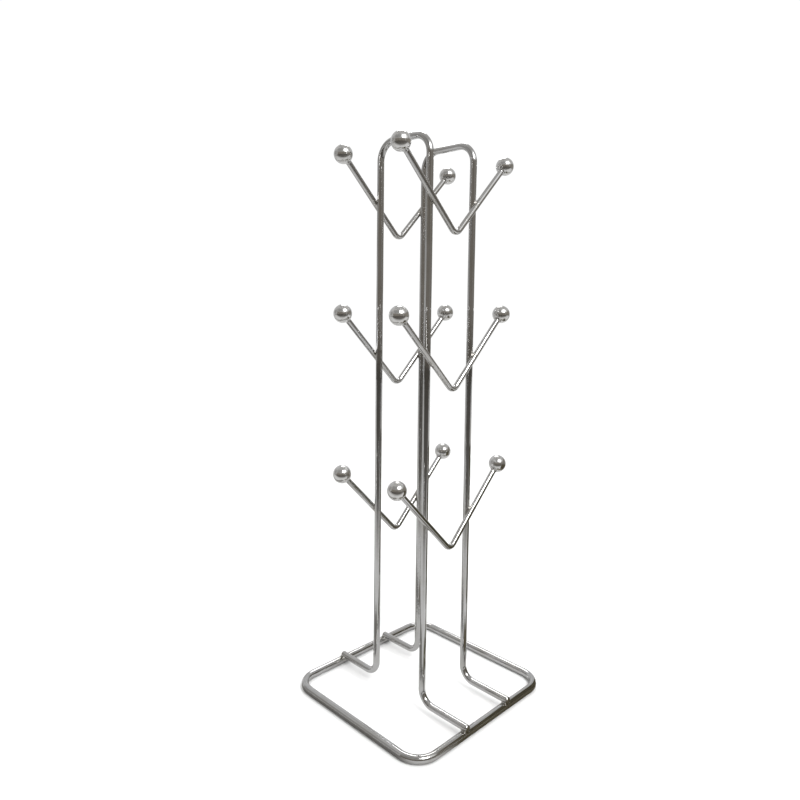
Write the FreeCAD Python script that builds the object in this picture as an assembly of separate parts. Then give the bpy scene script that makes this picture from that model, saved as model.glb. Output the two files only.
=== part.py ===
"""Mug tree of bent and welded steel wire with a ball on the end of every arm.

Millimetres, +Z up. The origin is the centre of the base, on the surface it stands on.
X runs along the arms, and -Y is the front. Every wire is round, and every piece is one solid.
"""
import FreeCAD, Part
import math
import os

from FreeCAD import Vector

# Wire and ball stock
RING_WIRE = 7.0
ARCH_WIRE = 6.0
HOOK_WIRE = 5.0
BALL_DIAMETER = 15.9

# Base ring, measured over the outside of its wire
BASE_LENGTH_X = 172.0
BASE_LENGTH_Y = 162.0
RING_BEND_RADIUS = 19.0

# Arches: two inverted U wires, side by side, with feet bent outwards along Y
ARCH_SPACING_X = 55.0
UPRIGHT_SPACING_Y = 58.0
OVERALL_HEIGHT = 493.0
ARCH_TOP_BEND_RADIUS = 16.0
FOOT_BEND_RADIUS = 12.0

# How far out the feet end: in front level with the ring's outer edge, behind over its centreline
FOOT_REACH_Y = {"front": BASE_LENGTH_Y / 2, "back": (BASE_LENGTH_Y - RING_WIRE) / 2}

# Hooks: V wires across the outside of the uprights, one in front and one behind on each tier
TIER_HEIGHTS = {"bottom": 139.0, "middle": 278.0, "top": 410.0}
ARM_REACH_X = 65.5
ARM_ANGLE = math.radians(45.0)
HOOK_BEND_RADIUS = 6.5

# Joints: how far the wires sink into each other at a weld, and how deep a ball is drilled
FOOT_WELD_SINK = 0.8
HOOK_WELD_SINK = 0.5
BALL_HOLE_DEPTH = 6.0

# Rounding of the sheared wire ends that stay in view
FOOT_END_ROUNDING = 1.5

# Worked out from the dimensions above
RING_CENTRE_X = (BASE_LENGTH_X - RING_WIRE) / 2
RING_CENTRE_Y = (BASE_LENGTH_Y - RING_WIRE) / 2
RING_CENTRE_Z = RING_WIRE / 2
FOOT_CENTRE_Z = RING_WIRE + ARCH_WIRE / 2 - FOOT_WELD_SINK
ARCH_TOP_CENTRE_Z = OVERALL_HEIGHT - ARCH_WIRE / 2
HOOK_PLANE_Y = UPRIGHT_SPACING_Y / 2 + (ARCH_WIRE + HOOK_WIRE) / 2 - HOOK_WELD_SINK
ARM_RISE = ARM_REACH_X * math.tan(ARM_ANGLE)

SIDES = {"left": -1, "right": 1}
FACES = {"front": -1, "back": 1}


def bend_points(before, corner, after, radius):
    """Start, middle and end of the arc of this radius that rounds a corner."""
    towards_before = (before - corner).normalize()
    towards_after = (after - corner).normalize()
    half_angle = towards_before.getAngle(towards_after) / 2
    setback = radius / math.tan(half_angle)
    inwards = (towards_before + towards_after).normalize()
    middle = corner + inwards * (radius / math.sin(half_angle) - radius)
    return corner + towards_before * setback, middle, corner + towards_after * setback


def bent_path(start, corners, end):
    """Open centreline from start to end; corners is a list of (point, bend radius)."""
    points = [start] + [point for point, _ in corners] + [end]
    edges = []
    reached = start
    for index, (corner, radius) in enumerate(corners, start=1):
        arc_start, arc_middle, arc_end = bend_points(points[index - 1], corner, points[index + 1], radius)
        edges.append(Part.LineSegment(reached, arc_start).toShape())
        edges.append(Part.Arc(arc_start, arc_middle, arc_end).toShape())
        reached = arc_end
    edges.append(Part.LineSegment(reached, end).toShape())
    return Part.Wire(edges)


def closed_path(corners, radius):
    """Closed centreline through rounded corners, starting midway along its last side."""
    start = (corners[-1] + corners[0]) * 0.5
    return bent_path(start, [(corner, radius) for corner in corners], start)


def round_wire(path, diameter):
    """Solid round wire along a centreline."""
    first_edge = path.OrderedEdges[0]
    start = first_edge.valueAt(first_edge.FirstParameter)
    direction = first_edge.tangentAt(first_edge.FirstParameter)
    section = Part.Wire(Part.makeCircle(diameter / 2, start, direction))
    return path.makePipeShell([section], True, True)


def round_ends(wire, ends, rounding):
    """Round the edge of each flat end face whose centre is in ends."""
    edges = [
        edge
        for edge in wire.Edges
        if any(edge.CenterOfMass.distanceToPoint(end) < rounding for end in ends)
    ]
    return wire.makeFillet(rounding, edges)


def make_base_ring():
    """Closed rounded rectangle that the tree stands on."""
    corners = [
        Vector(RING_CENTRE_X, -RING_CENTRE_Y, RING_CENTRE_Z),
        Vector(RING_CENTRE_X, RING_CENTRE_Y, RING_CENTRE_Z),
        Vector(-RING_CENTRE_X, RING_CENTRE_Y, RING_CENTRE_Z),
        Vector(-RING_CENTRE_X, -RING_CENTRE_Y, RING_CENTRE_Z),
    ]
    return round_wire(closed_path(corners, RING_BEND_RADIUS), RING_WIRE)


def make_arch(side, base_ring):
    """Foot, upright, top bar, upright and foot in one wire, its feet seated in the ring's welds."""
    x = side * ARCH_SPACING_X / 2
    upright_y = UPRIGHT_SPACING_Y / 2
    foot_ends = [Vector(x, FACES[face] * reach, FOOT_CENTRE_Z) for face, reach in FOOT_REACH_Y.items()]
    corners = [
        (Vector(x, -upright_y, FOOT_CENTRE_Z), FOOT_BEND_RADIUS),
        (Vector(x, -upright_y, ARCH_TOP_CENTRE_Z), ARCH_TOP_BEND_RADIUS),
        (Vector(x, upright_y, ARCH_TOP_CENTRE_Z), ARCH_TOP_BEND_RADIUS),
        (Vector(x, upright_y, FOOT_CENTRE_Z), FOOT_BEND_RADIUS),
    ]
    wire = round_wire(bent_path(foot_ends[0], corners, foot_ends[1]), ARCH_WIRE)
    return round_ends(wire, foot_ends, FOOT_END_ROUNDING).cut(base_ring)


def arm_direction(side):
    """Unit vector from the V's point out along one arm."""
    return Vector(side * math.cos(ARM_ANGLE), 0, math.sin(ARM_ANGLE))


def ball_centre(side, face, tier_height):
    return Vector(side * ARM_REACH_X, face * HOOK_PLANE_Y, tier_height + ARM_RISE)


def wire_tip(side, face, tier_height):
    """Where an arm's wire ends, at the bottom of the hole in its ball."""
    back_from_centre = BALL_DIAMETER / 2 - BALL_HOLE_DEPTH
    return ball_centre(side, face, tier_height) - arm_direction(side) * back_from_centre


def make_hook(face, tier_height, arches):
    """V wire with two arms, seated in the welds on one upright of each arch."""
    point = Vector(0, face * HOOK_PLANE_Y, tier_height)
    left_tip = wire_tip(SIDES["left"], face, tier_height)
    right_tip = wire_tip(SIDES["right"], face, tier_height)
    hook = round_wire(bent_path(left_tip, [(point, HOOK_BEND_RADIUS)], right_tip), HOOK_WIRE)
    for arch in arches:
        hook = hook.cut(arch)
    return hook


def make_ball(side, face, tier_height):
    """Ball drilled to take the end of an arm."""
    ball = Part.makeSphere(BALL_DIAMETER / 2, ball_centre(side, face, tier_height))
    tip = wire_tip(side, face, tier_height)
    hole = Part.makeCylinder(HOOK_WIRE / 2, BALL_DIAMETER, tip, -arm_direction(side))
    return ball.cut(hole)


def make_parts():
    """Every piece of the tree, by name."""
    base_ring = make_base_ring()
    parts = {"base_ring": base_ring}
    arches = [make_arch(side, base_ring) for side in SIDES.values()]
    for side_name, arch in zip(SIDES, arches):
        parts[f"arch_{side_name}"] = arch
    for tier_name, tier_height in TIER_HEIGHTS.items():
        for face_name, face in FACES.items():
            place = f"{face_name}_{tier_name}"
            parts[f"hook_{place}"] = make_hook(face, tier_height, arches)
            for side_name, side in SIDES.items():
                parts[f"ball_{place}_{side_name}"] = make_ball(side, face, tier_height)
    return parts


def export_parts(parts):
    """Write one STEP file for each piece and print its size."""
    os.makedirs("parts", exist_ok=True)
    for name, shape in parts.items():
        if not shape.isValid() or len(shape.Solids) != 1:
            raise RuntimeError(f"{name} is not one valid solid")
        shape.Solids[0].exportStep(os.path.join("parts", f"{name}.step"))
        print(f"{name}: {shape.Volume:.0f} mm3")


export_parts(make_parts())
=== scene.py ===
"""Chrome wire mug tree: clean swept wires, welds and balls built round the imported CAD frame."""
import math

import bpy
import numpy as np
from mathutils import Matrix, Vector


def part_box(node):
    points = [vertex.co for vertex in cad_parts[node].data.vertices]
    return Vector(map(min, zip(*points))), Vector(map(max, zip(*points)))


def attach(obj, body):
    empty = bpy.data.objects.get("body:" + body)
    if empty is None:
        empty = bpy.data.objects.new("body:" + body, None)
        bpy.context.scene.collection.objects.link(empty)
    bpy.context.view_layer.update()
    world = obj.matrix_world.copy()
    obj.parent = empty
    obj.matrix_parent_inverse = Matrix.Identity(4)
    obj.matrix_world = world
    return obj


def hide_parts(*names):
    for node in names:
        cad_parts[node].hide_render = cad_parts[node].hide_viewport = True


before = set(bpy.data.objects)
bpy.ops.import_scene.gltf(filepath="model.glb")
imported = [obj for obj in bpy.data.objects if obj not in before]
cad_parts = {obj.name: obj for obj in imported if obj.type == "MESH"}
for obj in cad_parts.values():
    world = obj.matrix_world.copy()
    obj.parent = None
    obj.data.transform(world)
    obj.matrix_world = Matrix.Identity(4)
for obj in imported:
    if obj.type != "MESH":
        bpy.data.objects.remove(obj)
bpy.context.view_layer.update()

MM = 0.001
TIERS = ("bottom", "middle", "top")
FACES = {"front": -1, "back": 1}
SIDES = {"left": -1, "right": 1}

# Bends and seats of the real wires; every other size is read from the frame
RING_BEND_RADIUS = 19 * MM
ARCH_TOP_BEND_RADIUS = 16 * MM
FOOT_BEND_RADIUS = 12 * MM
HOOK_BEND_RADIUS = 6.5 * MM
FOOT_WELD_SINK = 0.8 * MM
HOOK_WELD_SINK = 0.5 * MM
BALL_HOLE_DEPTH = 6 * MM
FOOT_END_ROUNDING = 1.5 * MM

# How finely the wires and balls are meshed
RUN_STEP = 4 * MM
BEND_STEP = math.radians(4)
WIRE_SEGMENTS = 40
END_ROUNDING_STEPS = 6
BALL_CELLS = 20
COLLAR_STEPS = 9
WELD_SEGMENTS = 48
WELD_ROWS = 9

# The map that a baked texture uses, with a gap between its strips
BAKE_MAP = "OFBake"
BAKE_GAP = 0.04
BAKE_MARGIN = 0.002

# Small signs of bending and straightening
BEND_FLATTENING = 0.025
BEND_WIDENING = 0.012
STRAIGHTNESS = 0.10 * MM
STRAIGHTNESS_WAVE = 153 * MM
TRUE_NEAR_END = 12 * MM
TRUE_NEAR_SEAM = 30 * MM

# Butt weld of the ring, ground nearly flush, halfway between the back feet
SEAM_HEIGHT = 0.10 * MM
SEAM_HALF_WIDTH = 1.4 * MM

# Gap that each weld fills between its wires, how far it may stand past a foot's end, how far it runs
# into the wires so that no crack shows, and how far heat marks reach from it
FOOT_WELD_GAP = 2.3 * MM
HOOK_WELD_GAP = 1.3 * MM
FOOT_WELD_LIP = 0.6 * MM
WELD_OVERLAP = 0.02 * MM
WELD_MARK_REACH = 9 * MM
WELD_SEARCH_STEP = 0.01 * MM
WELD_BULGE = 0.42

# Fillet of braze at the mouth of a ball, and how strongly it shows heat marks
COLLAR_LENGTH = 1.3 * MM
COLLAR_ROUNDNESS = 0.62
COLLAR_SUNK = 1.5 * MM
COLLAR_MARK = 0.25

# Middle of the dome of glowing cards, a painted reflection that stands in for the room
DOME_CENTRE = Vector((0, 0, 0.2))
CARD_SOFTNESS = 7
DISC_RINGS = 24
DISC_SEGMENTS = 96
LIGHT_TARGET = Vector((0, 0, 0.25))

# Camera
CAMERA_PLACE = Vector((-0.4249, -0.3986, 0.3561))
CAMERA_HEADING = math.radians(44.72)
CAMERA_TILT_DOWN = math.radians(5.26)
CAMERA_ROLL = math.radians(0.66)
CAMERA_LENS_MM = 29.66
CAMERA_SHIFT_Y = -0.05

# Seeds of what is uneven, one apart for each piece of a kind
RING_SEED = 1
ARCH_SEED = 11
HOOK_SEED = 20
WELD_SEED = 40


# ---------------------------------------------------------------- sizes from the frame

def centre(node):
    low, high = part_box(node)
    return (low + high) / 2


def size(node):
    low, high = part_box(node)
    return high - low


RING_WIRE = size("base_ring").z
ARCH_WIRE = size("arch_left").x
HOOK_WIRE = size("hook_front_top").y
BALL_RADIUS = size("ball_front_top_left").x / 2
RING_X = (size("base_ring").x - RING_WIRE) / 2
RING_Y = (size("base_ring").y - RING_WIRE) / 2
RING_Z = RING_WIRE / 2
FOOT_Z = RING_WIRE + ARCH_WIRE / 2 - FOOT_WELD_SINK
FOOT_END_Y = {face: abs(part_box("arch_left")[0 if sign < 0 else 1].y) for face, sign in FACES.items()}
ARCH_TOP_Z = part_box("arch_left")[1].z - ARCH_WIRE / 2
HOOK_Y = abs(centre("hook_front_top").y)
UPRIGHT_Y = HOOK_Y - (ARCH_WIRE + HOOK_WIRE) / 2 + HOOK_WELD_SINK
ARM = {side: Vector((sign, 0, 1)).normalized() for side, sign in SIDES.items()}


def ball_centre(face, tier, side):
    return centre(f"ball_{face}_{tier}_{side}")


def hook_point(face, tier):
    """Where the centrelines of a hook's two arms would meet."""
    ball = ball_centre(face, tier, "right")
    return Vector((0, FACES[face] * HOOK_Y, ball.z - ball.x))


def weld_places():
    """Every weld as (name, centre, kind): a foot on the ring, or a hook on an upright."""
    places = []
    for side in SIDES:
        x = centre(f"arch_{side}").x
        for face, sign in FACES.items():
            at = Vector((x, sign * RING_Y, RING_WIRE - FOOT_WELD_SINK / 2))
            places.append((f"weld_foot_{face}_{side}", at, "foot"))
            for tier in TIERS:
                height = hook_point(face, tier).z + abs(x)
                at = Vector((x, sign * (UPRIGHT_Y + ARCH_WIRE / 2 - HOOK_WELD_SINK / 2), height))
                places.append((f"weld_hook_{face}_{tier}_{side}", at, "hook"))
    return places


WELDS = weld_places()


# ---------------------------------------------------------------- wires

def straight(start, end):
    """Points along a run, the first included and the last left out, with their direction and bend."""
    steps = max(1, round((end - start).length / RUN_STEP))
    direction = (end - start).normalized()
    return [(start.lerp(end, i / steps), direction, 0.0) for i in range(steps)]


def bend(before, corner, after, radius):
    """The arc that rounds a corner: its points, and where it starts and ends."""
    backward = (before - corner).normalized()
    forward = (after - corner).normalized()
    half_angle = backward.angle(forward) / 2
    setback = radius / math.tan(half_angle)
    hub = corner + (backward + forward).normalized() * radius / math.sin(half_angle)
    start, end = corner + backward * setback, corner + forward * setback
    turn = math.pi - 2 * half_angle
    axis = (start - hub).cross(end - hub).normalized()
    steps = max(2, math.ceil(turn / BEND_STEP))
    points = []
    for i in range(steps):
        rotation = Matrix.Rotation(turn * i / steps, 3, axis)
        share = math.sin(math.pi * i / steps) ** 2
        points.append((hub + rotation @ (start - hub), rotation @ -backward, share))
    return points, start, end


def centreline(start, corners, end):
    """[(point, direction, bend share)] along runs joined by arcs; corners is [(point, radius)]."""
    line, reached = [], start
    stops = [start] + [point for point, _ in corners] + [end]
    for index, (corner, radius) in enumerate(corners, start=1):
        arc, arc_start, arc_end = bend(stops[index - 1], corner, stops[index + 1], radius)
        line += straight(reached, arc_start) + arc
        reached = arc_end
    line += straight(reached, end)
    return line


def smooth_wave(along, seed):
    """Slow, smooth wander between -1 and 1, the same on every run."""
    rng = np.random.default_rng(seed)
    total = np.zeros_like(along)
    for octave in range(3):
        phase = rng.uniform(0, math.tau)
        total += np.sin(math.tau * along * (octave + 1) / STRAIGHTNESS_WAVE + phase) / (octave + 1)
    return total / 1.8


def new_piece(name, vertices, faces, material):
    """A smooth mesh object on the root body."""
    mesh = bpy.data.meshes.new(name)
    mesh.from_pydata(vertices, [], faces)
    mesh.validate()
    mesh.polygons.foreach_set("use_smooth", [True] * len(mesh.polygons))
    mesh.materials.append(material)
    piece = bpy.data.objects.new(name, mesh)
    bpy.context.scene.collection.objects.link(piece)
    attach(piece, "root")
    return piece


def write_attribute(mesh, name, kind, values, domain="POINT"):
    layer = mesh.attributes.new(name, kind, domain)
    key = "vector" if kind == "FLOAT_VECTOR" else "value"
    layer.data.foreach_set(key, np.asarray(values, np.float32).ravel())


def write_wire_places(mesh, places, closing_faces, length):
    """Each corner's place on the wire; in a loop's last span, its far side is the wire's full length."""
    corners = []
    for polygon in mesh.polygons:
        for vertex in polygon.vertices:
            x, y, along = places[vertex]
            if polygon.index in closing_faces and vertex < WIRE_SEGMENTS:
                along = length
            corners.append((x, y, along))
    write_attribute(mesh, "wire_place", "FLOAT_VECTOR", corners, "CORNER")


def weld_marks(points):
    """1 at a weld, falling to 0 where its heat marks end."""
    points = np.asarray(points, float).reshape(-1, 3)
    nearest = np.full(len(points), 1.0)
    for _, at, _ in WELDS:
        distance = np.linalg.norm(points - np.array(at), axis=1)
        nearest = np.minimum(nearest, distance / WELD_MARK_REACH)
    return 1 - nearest * nearest * (3 - 2 * nearest)


def fold_map(mesh, spans, length, width):
    """A bake map that cuts a long tube into strips side by side. The end faces share one spot."""
    strips = max(1, round(math.sqrt(length / width)))
    per_strip = math.ceil(spans / strips)
    layer = mesh.uv_layers.new(name=BAKE_MAP)
    for polygon in mesh.polygons:
        index = polygon.index
        if index >= spans * WIRE_SEGMENTS:
            for loop in polygon.loop_indices:
                layer.data[loop].uv = (BAKE_MARGIN / 4, BAKE_MARGIN / 4)
            continue
        span, step = divmod(index, WIRE_SEGMENTS)
        strip, row = divmod(span, per_strip)
        for corner, loop in enumerate(polygon.loop_indices):
            across = step + (1 if corner in (2, 3) else 0)
            up = row + (1 if corner in (1, 2) else 0)
            u = (strip + BAKE_GAP / 2 + (1 - BAKE_GAP) * across / WIRE_SEGMENTS) / strips
            v = BAKE_MARGIN + (1 - 2 * BAKE_MARGIN) * up / per_strip
            layer.data[loop].uv = (u, v)


def ease_in(along, length, reach):
    """0 at both ends of a wire, rising to 1 this far in."""
    return np.clip(np.minimum(along, length - along) / reach, 0, 1)


def sweep(points, sideways, normal, radii, bends, along):
    """Vertices of a round section carried along a line, and their places on the wire."""
    angles = np.arange(WIRE_SEGMENTS) / WIRE_SEGMENTS * math.tau
    vertices, places = [], []
    for i, point in enumerate(points):
        flat = 1 - BEND_FLATTENING * bends[i]
        wide = 1 + BEND_WIDENING * bends[i]
        for angle in angles:
            offset = sideways[i] * math.cos(angle) * flat + normal * math.sin(angle) * wide
            vertices.append(point + offset * radii[i])
            places.append((math.cos(angle) * radii[i], math.sin(angle) * radii[i], along[i]))
    return vertices, places


def tube_faces(rings, spans):
    """Faces between each row of vertices and the next; a closed loop has as many spans as rows."""
    faces = []
    for i in range(spans):
        row, next_row = i * WIRE_SEGMENTS, (i + 1) % rings * WIRE_SEGMENTS
        for k in range(WIRE_SEGMENTS):
            n = (k + 1) % WIRE_SEGMENTS
            faces.append((row + k, next_row + k, next_row + n, row + n))
    return faces


def wire(name, line, normal, diameter, seed, closed=False, end_rounding=0.0, seam_at=None):
    """Sweeps a round section along a flat centreline. normal is square to the plane it lies in."""
    points = np.array([point for point, _, _ in line])
    directions = np.array([direction for _, direction, _ in line])
    bends = np.array([share for _, _, share in line])
    steps = np.linalg.norm(np.roll(points, -1, axis=0) - points, axis=1)
    along = np.concatenate([[0], np.cumsum(steps)[:-1]])
    length = steps.sum() if closed else along[-1]
    normal = np.array(normal, float)
    sideways = np.cross(directions, normal)
    eased = ease_in(along, length, TRUE_NEAR_SEAM if closed else TRUE_NEAR_END)
    wander = smooth_wave(along, seed) * STRAIGHTNESS * eased
    points = points + sideways * wander[:, None]
    radii = np.full(len(points), diameter / 2)
    if seam_at is not None:
        from_seam = np.linalg.norm(points - np.array(seam_at), axis=1) / SEAM_HALF_WIDTH
        radii = radii + SEAM_HEIGHT * np.exp(-from_seam ** 2 * 2)
    vertices, places = sweep(points, sideways, normal, radii, bends, along)
    rings = len(points)
    spans = rings if closed else rings - 1
    faces = tube_faces(rings, spans)
    last = (rings - 1) * WIRE_SEGMENTS
    if not closed:
        radius = diameter / 2
        add_end(vertices, places, faces, points[0], -directions[0], 0, True, end_rounding, radius)
        add_end(vertices, places, faces, points[-1], directions[-1], last, False, end_rounding, radius)
    piece = new_piece(name, [tuple(v) for v in vertices], faces, CHROME)
    closing_faces = range(last, len(faces)) if closed else ()
    write_wire_places(piece.data, places, closing_faces, length)
    write_attribute(piece.data, "weld_mark", "FLOAT", weld_marks(vertices))
    fold_map(piece.data, spans, length, math.pi * diameter)
    return piece


def add_end(vertices, places, faces, point, outward, first, reverse, rounding, radius):
    """Closes a wire's end with a rounded edge and a flat face. first is its last row's first vertex."""
    base = [np.array(vertices[first + k]) for k in range(WIRE_SEGMENTS)]
    base_places = [places[first + k] for k in range(WIRE_SEGMENTS)]
    rows = []
    if rounding:
        for step in range(1, END_ROUNDING_STEPS + 1):
            angle = step / END_ROUNDING_STEPS * math.pi / 2
            scale = 1 - rounding / radius * (1 - math.cos(angle))
            rows.append((scale, rounding * math.sin(angle)))
    rim = rows[-1] if rows else (1.0, 0.0)
    rows += [(rim[0] * share, rim[1]) for share in (0.97, 0.66, 0.33)]
    previous = [first + k for k in range(WIRE_SEGMENTS)]
    for scale, out in rows:
        start = len(vertices)
        for k in range(WIRE_SEGMENTS):
            vertices.append(point + (base[k] - point) * scale + outward * out)
            x, y, z = base_places[k]
            places.append((x * scale, y * scale, z))
        current = [start + k for k in range(WIRE_SEGMENTS)]
        join_rows(faces, previous, current, reverse)
        previous = current
    tip = len(vertices)
    vertices.append(point + outward * rim[1])
    places.append((0, 0, base_places[0][2]))
    for k in range(WIRE_SEGMENTS):
        n = (k + 1) % WIRE_SEGMENTS
        face = (previous[k], tip, previous[n])
        faces.append(face[::-1] if reverse else face)


def join_rows(faces, lower, upper, reverse):
    """Quads between two closed rows of vertices."""
    count = len(lower)
    for k in range(count):
        n = (k + 1) % count
        face = (lower[k], upper[k], upper[n], lower[n])
        faces.append(face[::-1] if reverse else face)


# ---------------------------------------------------------------- materials

def new_material(name):
    """A material with its node tree and its shader."""
    material = bpy.data.materials.new(name)
    material.use_nodes = True
    tree = material.node_tree
    shader = tree.nodes["Principled BSDF"]
    return material, tree, shader


def add(tree, kind, **values):
    """A node with some of its settings and inputs set."""
    node = tree.nodes.new(kind)
    for key, value in values.items():
        if hasattr(node, key):
            setattr(node, key, value)
        else:
            node.inputs[key.replace("_", " ")].default_value = value
    return node


def stretched(tree, source, scale):
    """Coordinates scaled along each axis."""
    node = add(tree, "ShaderNodeMapping")
    node.inputs["Scale"].default_value = scale
    tree.links.new(source, node.inputs["Vector"])
    return node.outputs["Vector"]


def noise(tree, source, scale, detail=2.0, roughness=0.5):
    node = add(tree, "ShaderNodeTexNoise", Scale=scale, Detail=detail, Roughness=roughness)
    tree.links.new(source, node.inputs["Vector"])
    return node.outputs["Fac"]


def ranged(tree, source, low, high, to_low, to_high):
    """Maps a value from one range to another, smoothly and clamped."""
    node = add(tree, "ShaderNodeMapRange", interpolation_type="SMOOTHSTEP")
    for key, value in (("From Min", low), ("From Max", high), ("To Min", to_low), ("To Max", to_high)):
        node.inputs[key].default_value = value
    tree.links.new(source, node.inputs["Value"])
    return node.outputs["Result"]


def combine(tree, operation, first, second):
    node = add(tree, "ShaderNodeMath", operation=operation)
    for socket, value in zip(node.inputs, (first, second)):
        if isinstance(value, (int, float)):
            socket.default_value = value
        else:
            tree.links.new(value, socket)
    return node.outputs[0]


def blended(tree, share, first, second):
    """Colour between two colours, or links to colours."""
    node = add(tree, "ShaderNodeMix", data_type="RGBA")
    tree.links.new(share, node.inputs["Factor"])
    for key, value in (("A", first), ("B", second)):
        socket = next(s for s in node.inputs if s.name == key and s.type == "RGBA")
        if isinstance(value, tuple):
            socket.default_value = (*value, 1)
        else:
            tree.links.new(value, socket)
    return next(s for s in node.outputs if s.type == "RGBA")


def bumped(tree, shader, layers):
    """Chains bumps, given as (height, depth in metres), into the shader's normal."""
    normal = None
    for height, depth in layers:
        node = add(tree, "ShaderNodeBump", Strength=1.0, Distance=depth)
        tree.links.new(height, node.inputs["Height"])
        if normal is not None:
            tree.links.new(normal, node.inputs["Normal"])
        normal = node.outputs["Normal"]
    tree.links.new(normal, shader.inputs["Normal"])


def make_bright_chrome():
    """Plated wire: mirror bright, with drawing lines along it, faint handling haze and dull welds."""
    material, tree, shader = new_material("bright_chrome_plate")
    place = add(tree, "ShaderNodeAttribute", attribute_name="wire_place").outputs["Vector"]
    mark = add(tree, "ShaderNodeAttribute", attribute_name="weld_mark").outputs["Fac"]
    everywhere = add(tree, "ShaderNodeTexCoord").outputs["Object"]
    haze = noise(tree, stretched(tree, everywhere, (1, 1, 0.6)), 38, 5, 0.6)
    drawn = noise(tree, stretched(tree, place, (1, 1, 0.012)), 2600, 3)
    ripple = noise(tree, place, 210, 2)
    grain = noise(tree, everywhere, 5200, 2)
    patches = ranged(tree, noise(tree, everywhere, 420, 4), 0.3, 0.7, 0.35, 1)
    scorch = combine(tree, "MULTIPLY", mark, patches)
    hazy = ranged(tree, haze, 0.35, 0.7, 0, 1)
    plain = blended(tree, hazy, (0.60, 0.60, 0.605), (0.52, 0.515, 0.50))
    colour = blended(tree, scorch, plain, (0.43, 0.41, 0.37))
    tree.links.new(colour, shader.inputs["Base Color"])
    handled = ranged(tree, haze, 0.35, 0.75, 0.055, 0.13)
    gloss = combine(tree, "ADD", handled, ranged(tree, drawn, 0.4, 0.75, 0, 0.05))
    gloss = combine(tree, "ADD", gloss, combine(tree, "MULTIPLY", scorch, 0.20))
    tree.links.new(gloss, shader.inputs["Roughness"])
    shader.inputs["Metallic"].default_value = 1.0
    weld_grain = combine(tree, "MULTIPLY", mark, noise(tree, everywhere, 1500, 3))
    bumped(tree, shader, [(ripple, 0.00005), (drawn, 0.000004), (grain, 0.0000015), (weld_grain, 0.00012)])
    return material


def make_satin_chrome():
    """Tumbled and plated ball: a soft, even sheen with faint handling marks."""
    material, tree, shader = new_material("satin_chrome_plate")
    everywhere = add(tree, "ShaderNodeTexCoord").outputs["Object"]
    haze = noise(tree, everywhere, 170, 5, 0.6)
    grain = noise(tree, everywhere, 3800, 3)
    hazy = ranged(tree, haze, 0.35, 0.7, 0, 1)
    colour = blended(tree, hazy, (0.74, 0.74, 0.735), (0.66, 0.655, 0.645))
    tree.links.new(colour, shader.inputs["Base Color"])
    handled = ranged(tree, haze, 0.3, 0.75, 0.15, 0.21)
    gloss = combine(tree, "ADD", handled, ranged(tree, grain, 0.4, 0.8, 0, 0.04))
    tree.links.new(gloss, shader.inputs["Roughness"])
    shader.inputs["Metallic"].default_value = 1.0
    bumped(tree, shader, [(haze, 0.00003), (grain, 0.000003)])
    return material


CHROME = make_bright_chrome()
SATIN = make_satin_chrome()


# ---------------------------------------------------------------- the tree

def make_ring():
    """The base, starting and closing at its butt weld."""
    corners = [
        Vector((-RING_X, RING_Y, RING_Z)),
        Vector((-RING_X, -RING_Y, RING_Z)),
        Vector((RING_X, -RING_Y, RING_Z)),
        Vector((RING_X, RING_Y, RING_Z)),
    ]
    start = (corners[-1] + corners[0]) / 2
    line = centreline(start, [(corner, RING_BEND_RADIUS) for corner in corners], start)
    piece = wire("base_ring_wire", line, (0, 0, 1), RING_WIRE, RING_SEED, closed=True, seam_at=start)
    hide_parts("base_ring")


def make_arch(side):
    """Foot, upright, top bar, upright and foot in one wire."""
    x = centre(f"arch_{side}").x
    ends = [
        Vector((x, sign * (FOOT_END_Y[face] - FOOT_END_ROUNDING), FOOT_Z))
        for face, sign in FACES.items()
    ]
    corners = [
        (Vector((x, -UPRIGHT_Y, FOOT_Z)), FOOT_BEND_RADIUS),
        (Vector((x, -UPRIGHT_Y, ARCH_TOP_Z)), ARCH_TOP_BEND_RADIUS),
        (Vector((x, UPRIGHT_Y, ARCH_TOP_Z)), ARCH_TOP_BEND_RADIUS),
        (Vector((x, UPRIGHT_Y, FOOT_Z)), FOOT_BEND_RADIUS),
    ]
    line = centreline(ends[0], corners, ends[1])
    line.append((ends[1], line[-1][1], 0.0))
    seed = ARCH_SEED + SIDES[side]
    piece = wire(f"arch_{side}_wire", line, (1, 0, 0), ARCH_WIRE, seed, end_rounding=FOOT_END_ROUNDING)
    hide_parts(f"arch_{side}")


def make_hook(face, tier, seed):
    """A V wire whose ends reach the bottoms of the holes in its balls."""
    point = hook_point(face, tier)
    back = BALL_RADIUS - BALL_HOLE_DEPTH
    tips = [ball_centre(face, tier, side) - ARM[side] * back for side in SIDES]
    line = centreline(tips[0], [(point, HOOK_BEND_RADIUS)], tips[1])
    line.append((tips[1], line[-1][1], 0.0))
    piece = wire(f"hook_{face}_{tier}_wire", line, (0, 1, 0), HOOK_WIRE, seed)
    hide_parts(f"hook_{face}_{tier}")


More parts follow.
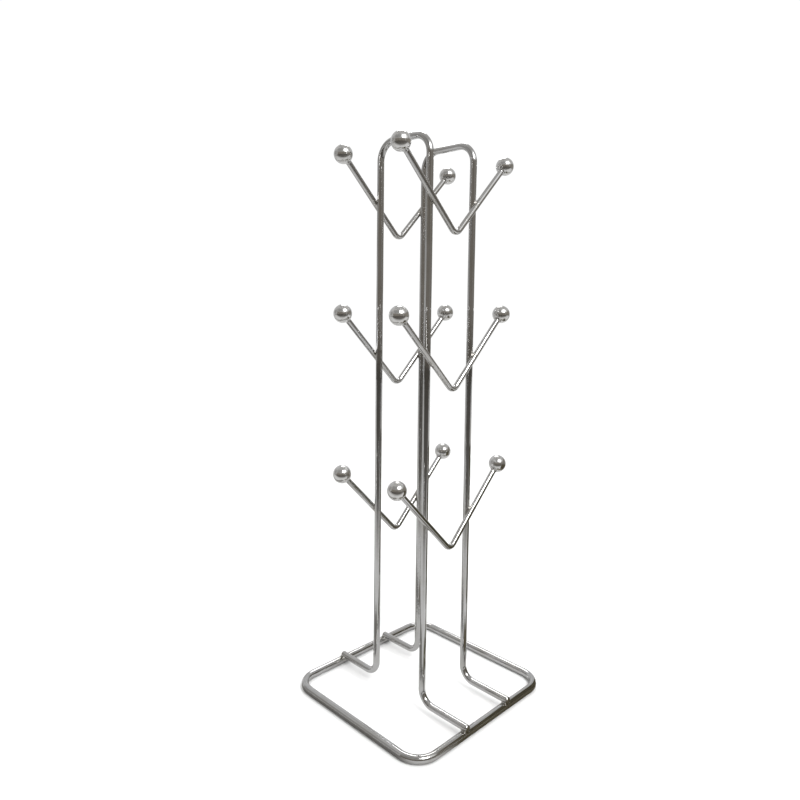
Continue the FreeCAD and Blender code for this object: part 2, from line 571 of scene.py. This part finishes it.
def make_ball(face, tier, side):
    """A ball with no poles: a cube's six grids pushed out onto a sphere, so the mesh is even all over."""
    at = ball_centre(face, tier, side)
    vertices, faces, known = [], [], {}

    def vertex(direction):
        key = tuple(round(v, 6) for v in direction)
        if key not in known:
            known[key] = len(vertices)
            vertices.append(tuple(at + Vector(direction).normalized() * BALL_RADIUS))
        return known[key]

    grid = [math.tan(math.radians(-45 + 90 * i / BALL_CELLS)) for i in range(BALL_CELLS + 1)]
    for axis in range(3):
        for sign in (-1, 1):
            def corner(i, j):
                place = [0.0, 0.0, 0.0]
                place[axis] = float(sign)
                place[(axis + 1) % 3] = grid[i]
                place[(axis + 2) % 3] = grid[j]
                return vertex(place)
            for i in range(BALL_CELLS):
                for j in range(BALL_CELLS):
                    cell = [corner(i, j), corner(i + 1, j), corner(i + 1, j + 1), corner(i, j + 1)]
                    faces.append(cell if sign > 0 else cell[::-1])
    piece = new_piece(f"ball_{face}_{tier}_{side}_solid", vertices, faces, SATIN)
    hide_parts(f"ball_{face}_{tier}_{side}")


def lathe(name, at, axis, profile):
    """Closed solid of revolution; profile is [(distance along the axis, radius)], its ends on the axis."""
    across = axis.orthogonal().normalized()
    upright = axis.cross(across)
    vertices, faces = [], []
    rows = []
    for distance, radius in profile:
        if radius == 0:
            rows.append([len(vertices)] * WIRE_SEGMENTS)
            vertices.append(tuple(at + axis * distance))
            continue
        rows.append([len(vertices) + k for k in range(WIRE_SEGMENTS)])
        for k in range(WIRE_SEGMENTS):
            angle = k / WIRE_SEGMENTS * math.tau
            offset = (across * math.cos(angle) + upright * math.sin(angle)) * radius
            vertices.append(tuple(at + axis * distance + offset))
    for lower, upper in zip(rows, rows[1:]):
        for k in range(WIRE_SEGMENTS):
            n = (k + 1) % WIRE_SEGMENTS
            ring = [lower[k], lower[n], upper[n], upper[k]]
            faces.append(tuple(dict.fromkeys(ring)))
    return new_piece(name, vertices, faces, CHROME)


def bezier(points, count):
    """Points along one cubic curve."""
    a, b, c, d = (np.array(p, float) for p in points)
    return [
        (1 - t) ** 3 * a + 3 * (1 - t) ** 2 * t * b + 3 * (1 - t) * t ** 2 * c + t ** 3 * d
        for t in np.linspace(0, 1, count)
    ]


def make_collar(face, tier, side):
    """The fillet of braze where an arm enters its ball."""
    wire_radius = HOOK_WIRE / 2
    mouth = math.sqrt(BALL_RADIUS ** 2 - wire_radius ** 2)
    lift = math.asin(wire_radius / BALL_RADIUS) + COLLAR_LENGTH / BALL_RADIUS
    on_ball = (BALL_RADIUS * math.cos(lift), BALL_RADIUS * math.sin(lift))
    on_wire = (mouth + COLLAR_LENGTH, wire_radius)
    pull = COLLAR_LENGTH * COLLAR_ROUNDNESS
    ball_way = (math.sin(lift), -math.cos(lift))
    curve = bezier(
        [
            (on_ball[0] - WELD_OVERLAP, on_ball[1] - WELD_OVERLAP),
            (on_ball[0] + ball_way[0] * pull, on_ball[1] + ball_way[1] * pull),
            (on_wire[0] - pull, on_wire[1]),
            (on_wire[0], on_wire[1] - WELD_OVERLAP),
        ],
        COLLAR_STEPS,
    )
    profile = [(mouth - COLLAR_SUNK, 0), (mouth - COLLAR_SUNK, wire_radius * 0.9)]
    profile += [tuple(p) for p in curve] + [(on_wire[0], wire_radius * 0.5), (on_wire[0], 0)]
    at = ball_centre(face, tier, side)
    mesh = lathe(f"collar_{face}_{tier}_{side}", at, -ARM[side], profile).data
    points = [tuple(v.co) for v in mesh.vertices]
    write_attribute(mesh, "wire_place", "FLOAT_VECTOR", points)
    write_attribute(mesh, "weld_mark", "FLOAT", [COLLAR_MARK] * len(points))


def surface_drop(radius, sideways):
    """How far a round wire's surface has fallen away, this far to the side of its crown."""
    return radius - math.sqrt(max(radius ** 2 - sideways ** 2, 0))


def surface_slope(radius, side, reach):
    """How steeply that surface falls, this far out along a way with this share across the wire."""
    level = max(radius ** 2 - (reach * side) ** 2, 1e-9)
    return reach * side ** 2 / math.sqrt(level)


def weld_reach(lower, upper, wanted, most):
    """How far out the gap between two wires opens to what is wanted, or most. See weld_edge."""
    reach = 0.0
    while reach < most:
        open_gap = surface_drop(lower[0], reach * lower[1]) + surface_drop(upper[0], reach * upper[1])
        if open_gap >= wanted:
            break
        reach += WELD_SEARCH_STEP
    return reach


def weld_edge(lower, upper, sink, reach):
    """One side of a weld as [(distance out, height)], which meets both wires along their surfaces.

    lower and upper are each wire's (radius, share of the way out that runs across it).
    """
    low = -surface_drop(lower[0], reach * lower[1]) + sink / 2
    high = surface_drop(upper[0], reach * upper[1]) - sink / 2
    low_slope = surface_slope(*lower, reach)
    high_slope = surface_slope(*upper, reach)
    low_way = np.array((-1, low_slope)) / math.hypot(1, low_slope)
    high_way = np.array((-1, -high_slope)) / math.hypot(1, high_slope)
    pull = WELD_BULGE * (high - low)
    start, end = np.array((reach, low - WELD_OVERLAP)), np.array((reach, high + WELD_OVERLAP))
    return bezier([start, start + low_way * pull, end + high_way * pull, end], WELD_ROWS)


def make_weld(name, at, out, lower, upper, sink, gap, seed, limit=None):
    """The nugget squeezed out where two wires cross: a saddle that fills the gap between them.

    out points from the lower wire to the upper one, each given as (direction, radius). limit is
    (direction, distance), how far it may reach that way.
    """
    phases = np.random.default_rng(seed).uniform(0, math.tau, 3)
    first, second = lower[0].normalized(), out.cross(lower[0]).normalized()
    vertices = []
    for k in range(WELD_SEGMENTS):
        angle = k / WELD_SEGMENTS * math.tau
        way = first * math.cos(angle) + second * math.sin(angle)
        uneven = 1 + 0.10 * math.sin(2 * angle + phases[0]) + 0.06 * math.sin(3 * angle + phases[1])
        wanted = gap * uneven + 0.05 * gap * math.sin(7 * angle + phases[2])
        leans = [(radius, way.cross(run.normalized()).length) for run, radius in (lower, upper)]
        most = 0.97 * min(radius / max(share, 0.05) for radius, share in leans)
        if limit is not None and way.dot(limit[0]) > 0.05:
            most = min(most, limit[1] / way.dot(limit[0]))
        reach = weld_reach(*leans, wanted + sink, most)
        for distance, height in weld_edge(*leans, sink, reach):
            vertices.append(tuple(at + way * float(distance) + out * float(height)))
    faces = []
    bottom, top = len(vertices), len(vertices) + 1
    for k in range(WELD_SEGMENTS):
        column, beside = k * WELD_ROWS, (k + 1) % WELD_SEGMENTS * WELD_ROWS
        for row in range(WELD_ROWS - 1):
            faces.append((column + row, beside + row, beside + row + 1, column + row + 1))
    for k in range(WELD_SEGMENTS):
        column, beside = k * WELD_ROWS, (k + 1) % WELD_SEGMENTS * WELD_ROWS
        faces.append((beside, column, bottom))
        faces.append((column + WELD_ROWS - 1, beside + WELD_ROWS - 1, top))
    vertices.append(tuple(at - out * (lower[1] * 0.3)))
    vertices.append(tuple(at + out * (upper[1] * 0.3)))
    piece = new_piece(name, vertices, faces, CHROME)
    write_attribute(piece.data, "wire_place", "FLOAT_VECTOR", vertices)
    write_attribute(piece.data, "weld_mark", "FLOAT", weld_marks(vertices))


def make_welds():
    """A nugget at each foot and at each place where a hook crosses an upright."""
    along_x, along_y, up = Vector((1, 0, 0)), Vector((0, 1, 0)), Vector((0, 0, 1))
    ring, foot = (along_x, RING_WIRE / 2), (along_y, ARCH_WIRE / 2)
    upright = (up, ARCH_WIRE / 2)
    for seed, (name, at, kind) in enumerate(WELDS, start=WELD_SEED):
        outward = along_y * (1 if at.y > 0 else -1)
        if kind == "foot":
            past_ring = FOOT_END_Y["back" if at.y > 0 else "front"] - RING_Y
            limit = (outward, past_ring + FOOT_WELD_LIP)
            make_weld(name, at, up, ring, foot, FOOT_WELD_SINK, FOOT_WELD_GAP, seed, limit)
        else:
            arm = (ARM["left" if at.x < 0 else "right"], HOOK_WIRE / 2)
            make_weld(name, at, outward, upright, arm, HOOK_WELD_SINK, HOOK_WELD_GAP, seed)


def make_tree():
    make_ring()
    for side in SIDES:
        make_arch(side)
    seed = HOOK_SEED
    for tier in TIERS:
        for face in FACES:
            make_hook(face, tier, seed)
            seed += 1
            for side in SIDES:
                make_ball(face, tier, side)
                make_collar(face, tier, side)
    make_welds()


# ---------------------------------------------------------------- studio

def stage_mesh(name, vertices, faces, material, in_view):
    """A piece of the studio, either in plain view or seen only in reflections."""
    mesh = bpy.data.meshes.new(name)
    mesh.from_pydata(vertices, [], faces)
    mesh.materials.append(material)
    piece = bpy.data.objects.new(name, mesh)
    bpy.context.scene.collection.objects.link(piece)
    piece.visible_glossy = not in_view
    if not in_view:
        piece.visible_camera = False
        piece.visible_diffuse = False
        piece.visible_shadow = False
    return mesh


def disc(height, reach):
    """Rings of faces round the origin, closer together near the middle."""
    rings, segments = DISC_RINGS, DISC_SEGMENTS
    vertices, faces = [(0, 0, height)], []
    for ring in range(1, rings + 1):
        radius = reach * (ring / rings) ** 2
        for k in range(segments):
            angle = k / segments * math.tau
            vertices.append((radius * math.cos(angle), radius * math.sin(angle), height))
    for k in range(segments):
        faces.append((0, 1 + k, 1 + (k + 1) % segments))
    for ring in range(rings - 1):
        inner, outer = 1 + ring * segments, 1 + (ring + 1) * segments
        for k in range(segments):
            n = (k + 1) % segments
            faces.append((inner + k, outer + k, outer + n, inner + n))
    return vertices, faces


def make_floor():
    """Pale tabletop that fades into the pale surroundings."""
    material, tree, shader = new_material("pale_tabletop")
    where = add(tree, "ShaderNodeTexCoord").outputs["Object"]
    cloud = noise(tree, where, 3, 4)
    colour = blended(tree, cloud, (0.86, 0.86, 0.86), (0.90, 0.90, 0.895))
    tree.links.new(colour, shader.inputs["Base Color"])
    shader.inputs["Roughness"].default_value = 0.6
    distance = add(tree, "ShaderNodeVectorMath", operation="LENGTH")
    tree.links.new(where, distance.inputs[0])
    tree.links.new(ranged(tree, distance.outputs["Value"], 0.5, 2.2, 1, 0), shader.inputs["Alpha"])
    stage_mesh("floor", *disc(0, 3.0), material, True)


def band(tree, source, start, full, last, end):
    """1 between full and last, 0 outside start and end."""
    rise = ranged(tree, source, start, full, 0, 1)
    return combine(tree, "MULTIPLY", rise, ranged(tree, source, last, end, 1, 0))


def make_reflected_table():
    """Greyer table that the chrome mirrors, its colour a painted reflection: darker far off at the near
    side, with painted shade close beside the ring.
    """
    material, tree, shader = new_material("reflected_table_painted_reflection")
    where = add(tree, "ShaderNodeTexCoord").outputs["Object"]
    axes = add(tree, "ShaderNodeSeparateXYZ")
    tree.links.new(where, axes.inputs[0])
    nearer = add(tree, "ShaderNodeVectorMath", operation="DOT_PRODUCT")
    tree.links.new(where, nearer.inputs[0])
    nearer.inputs[1].default_value = (-math.sqrt(0.5), -math.sqrt(0.5), 0)
    edge_x, edge_y = RING_X + RING_WIRE / 2, RING_Y + RING_WIRE / 2
    # Painted shade: dark bands from the ring's left and front edges out a few centimetres, seen only in
    # reflections.
    left = band(tree, axes.outputs["X"], -edge_x - 0.11, -edge_x - 0.06, -edge_x, -edge_x + 0.006)
    front = band(tree, axes.outputs["Y"], -edge_y - 0.10, -edge_y - 0.05, -edge_y, -edge_y + 0.006)
    left = combine(tree, "MULTIPLY", left, ranged(tree, axes.outputs["Y"], -edge_y, -0.05, 0, 1))
    front = combine(tree, "MULTIPLY", front, ranged(tree, axes.outputs["X"], -edge_x + 0.02, -0.03, 0, 1))
    # Painted reflection: darker towards the near side, standing in for dark surroundings.
    far = ranged(tree, nearer.outputs["Value"], 0.14, 0.62, 0, 1)
    colour = blended(tree, far, (0.52, 0.517, 0.51), (0.075, 0.07, 0.063))
    colour = blended(tree, left, colour, (0.16, 0.155, 0.145))
    colour = blended(tree, front, colour, (0.09, 0.08, 0.055))
    tree.links.new(colour, shader.inputs["Base Color"])
    shader.inputs["Roughness"].default_value = 1.0
    shader.inputs["Specular IOR Level"].default_value = 0.0
    stage_mesh("reflected_table", *disc(0.1 * MM, 2.4), material, False)


def make_card(name, heading, half_width, low, high, radius, shade, soft_ends=True):
    """Part of a glowing dome, seen only in reflections: a painted reflection of the room. Angles are
    degrees; heading is anticlockwise from +X.
    """
    across, up = max(8, half_width), max(8, (high - low) // 2)
    vertices, faces, inside = [], [], []
    for i in range(across + 1):
        turn = math.radians(heading + half_width * (2 * i / across - 1))
        for j in range(up + 1):
            lift = math.radians(low + (high - low) * j / up)
            way = Vector((math.cos(turn) * math.cos(lift), math.sin(turn) * math.cos(lift), math.sin(lift)))
            vertices.append(tuple(DOME_CENTRE + way * radius))
            from_side = CARD_SOFTNESS if half_width == 180 else half_width * (1 - abs(2 * i / across - 1))
            from_end = (high - low) * (0.5 - abs(j / up - 0.5))
            inside.append(min(from_side, from_end if soft_ends else CARD_SOFTNESS) / CARD_SOFTNESS)
    for i in range(across):
        for j in range(up):
            corner = i * (up + 1) + j
            faces.append((corner, corner + up + 1, corner + up + 2, corner + 1))
    material, tree, shader = new_material(f"{name}_painted_reflection")
    where = add(tree, "ShaderNodeTexCoord").outputs["Object"]
    # Painted reflection: the glow is mottled between this shade and a darker one.
    mottle = noise(tree, where, 1.6, 3)
    darker = tuple(c * 0.7 for c in shade)
    colour = blended(tree, ranged(tree, mottle, 0.35, 0.65, 0, 1), shade, darker)
    tree.links.new(colour, shader.inputs["Emission Color"])
    shader.inputs["Emission Strength"].default_value = 1.0
    edge = add(tree, "ShaderNodeAttribute", attribute_name="inside").outputs["Fac"]
    tree.links.new(ranged(tree, edge, 0, 1, 0, 1), shader.inputs["Alpha"])
    shader.inputs["Base Color"].default_value = (0, 0, 0, 1)
    shader.inputs["Specular IOR Level"].default_value = 0.0
    mesh = stage_mesh(name, vertices, faces, material, False)
    write_attribute(mesh, "inside", "FLOAT", inside)


def make_flag():
    """Low dark panel close to the right-hand front, seen only in reflections: a painted dark reflection."""
    steps, radius, top = 20, 0.21, 0.19
    heading, sweep_degrees = 288, 57
    vertices, faces = [], []
    for i in range(steps + 1):
        angle = math.radians(heading + sweep_degrees * i / steps)
        for height in (0.0, top):
            vertices.append((radius * math.cos(angle), radius * math.sin(angle), height))
    for i in range(steps):
        faces.append((2 * i, 2 * i + 2, 2 * i + 3, 2 * i + 1))
    material, tree, shader = new_material("flag_painted_reflection")
    where = add(tree, "ShaderNodeTexCoord").outputs["Object"]
    # Painted dark reflection, mottled between two dark browns.
    mottle = noise(tree, where, 9, 3)
    colour = blended(tree, mottle, (0.10, 0.088, 0.058), (0.07, 0.062, 0.042))
    tree.links.new(colour, shader.inputs["Base Color"])
    shader.inputs["Roughness"].default_value = 1.0
    shader.inputs["Specular IOR Level"].default_value = 0.0
    stage_mesh("flag", vertices, faces, material, False)


def make_light(name, place, width, height, power):
    """A soft oval light that points at the rack's middle. power is in watts."""
    data = bpy.data.lights.new(name, "AREA")
    data.shape = "ELLIPSE"
    data.size, data.size_y = width, height
    data.energy = power
    light = bpy.data.objects.new(name, data)
    light.location = place
    light.rotation_euler = (LIGHT_TARGET - light.location).to_track_quat("-Z", "Y").to_euler()
    bpy.context.scene.collection.objects.link(light)


def make_studio():
    """Pale floor and air for the camera, and a painted reflection of a duller room, glowing cards and dark
    sheets, for the chrome to mirror.
    """
    make_floor()
    world = bpy.data.worlds.new("pale_studio")
    world.use_nodes = True
    background = world.node_tree.nodes["Background"]
    background.inputs["Color"].default_value = (1.0, 1.0, 1.0, 1)
    background.inputs["Strength"].default_value = 1.03
    bpy.context.scene.world = world
    make_reflected_table()
    # Glowing cards seen only in reflections: painted reflections of walls and backdrop, darker bands, and a
    # bright painted highlight above the front.
    make_card("card_walls", 0, 180, -12, 90, 2.6, (0.60, 0.59, 0.575), False)
    make_card("card_backdrop", 45, 72, -12, 50, 2.5, (0.72, 0.72, 0.72))
    make_card("card_camera_side", 215, 62, -12, 29, 2.5, (0.25, 0.227, 0.198))
    make_card("card_left_high", 190, 42, 29, 62, 2.5, (0.36, 0.355, 0.345))
    make_card("card_right_front", 318, 44, -12, 30, 2.45, (0.27, 0.25, 0.22))
    make_card("card_low", 225, 110, -16, 2, 2.35, (0.08, 0.073, 0.062))
    make_card("card_back_left", 128, 20, 4, 32, 2.4, (0.36, 0.35, 0.335))
    make_card("card_above_front", 270, 42, 26, 68, 2.3, (1.15, 1.15, 1.14))
    make_flag()
    make_light("key", (-0.22, -1.15, 1.42), 0.8, 0.65, 17)
    make_light("fill", (0.9, 0.9, 1.7), 0.8, 0.8, 7)
    bpy.context.scene.view_settings.view_transform = "Standard"


def make_camera():
    """The photograph's viewpoint. The heading is clockwise from +Y."""
    data = bpy.data.cameras.new("camera")
    data.lens = CAMERA_LENS_MM
    data.sensor_width = 36
    data.shift_y = CAMERA_SHIFT_Y
    data.clip_start, data.clip_end = 0.01, 20
    camera = bpy.data.objects.new("camera", data)
    bpy.context.scene.collection.objects.link(camera)
    heading, tilt = CAMERA_HEADING, CAMERA_TILT_DOWN
    forward = Vector((
        math.sin(heading) * math.cos(tilt),
        math.cos(heading) * math.cos(tilt),
        -math.sin(tilt),
    ))
    level = Vector((math.cos(heading), -math.sin(heading), 0))
    upward = level.cross(forward)
    right = level * math.cos(CAMERA_ROLL) + upward * math.sin(CAMERA_ROLL)
    upward = right.cross(forward)
    turn = Matrix((right, upward, -forward)).transposed()
    camera.matrix_world = Matrix.Translation(CAMERA_PLACE) @ turn.to_4x4()
    bpy.context.scene.camera = camera


make_camera()
make_tree()
make_studio()
